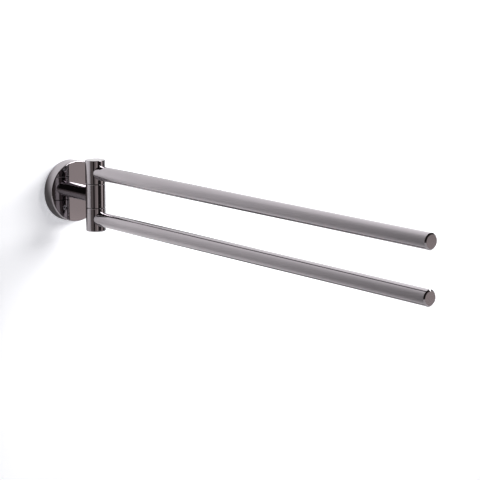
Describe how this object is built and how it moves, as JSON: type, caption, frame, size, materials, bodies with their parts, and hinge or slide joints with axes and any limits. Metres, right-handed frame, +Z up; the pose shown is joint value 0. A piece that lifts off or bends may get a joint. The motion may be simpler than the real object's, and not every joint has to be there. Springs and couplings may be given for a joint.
{
  "type": "swing arm towel bar",
  "caption": "Wall-mounted towel bar: a round rosette and a short stem carry an upright post, from which long round arms swing freely, one above the other.",
  "frame": {"origin": "centre of the rosette's back on the wall plane, level with the stem's axis", "axes": "+Y into the wall, -Y out of it along the arms at rest, +Z up, +X to the right as seen from the room"},
  "size_m": [0.052, 0.461, 0.06],
  "materials": {
    "dark_nickel": "polished black nickel plate on brass",
    "steel": "plain stainless steel",
    "black_plastic": "smooth black plastic",
    "brass": "turned brass",
    "zinc_plated_steel": "zinc plated"
  },
  "bodies": {
    "wall_side": {"wall_plate": "zinc_plated_steel", "wall_screws": "steel", "rosette": "dark_nickel", "rosette_set_screw": "steel", "stem": "dark_nickel", "stem_screw": "steel", "stem_washer": "steel", "middle_knuckle": "dark_nickel", "pivot_pin": "steel", "upper_washer": "black_plastic", "lower_washer": "black_plastic"},
    "upper_swing": {"upper_knuckle": "dark_nickel", "upper_bush": "black_plastic", "upper_set_screw": "steel", "upper_spigot": "brass", "upper_arm": "dark_nickel", "upper_end_cap": "dark_nickel"},
    "lower_swing": {"lower_knuckle": "dark_nickel", "lower_bush": "black_plastic", "lower_set_screw": "steel", "lower_spigot": "brass", "lower_arm": "dark_nickel", "lower_end_cap": "dark_nickel"}
  },
  "joints": [
    {"name": "upper_arm_swing", "type": "hinge", "parent": "wall_side", "child": "upper_swing", "pos_m": [0, -0.038, 0.0194], "axis": [0, 0, 1], "range_deg": [-90, 90]},
    {"name": "lower_arm_swing", "type": "hinge", "parent": "wall_side", "child": "lower_swing", "pos_m": [0, -0.038, -0.0194], "axis": [0, 0, 1], "range_deg": [-90, 90]}
  ]
}
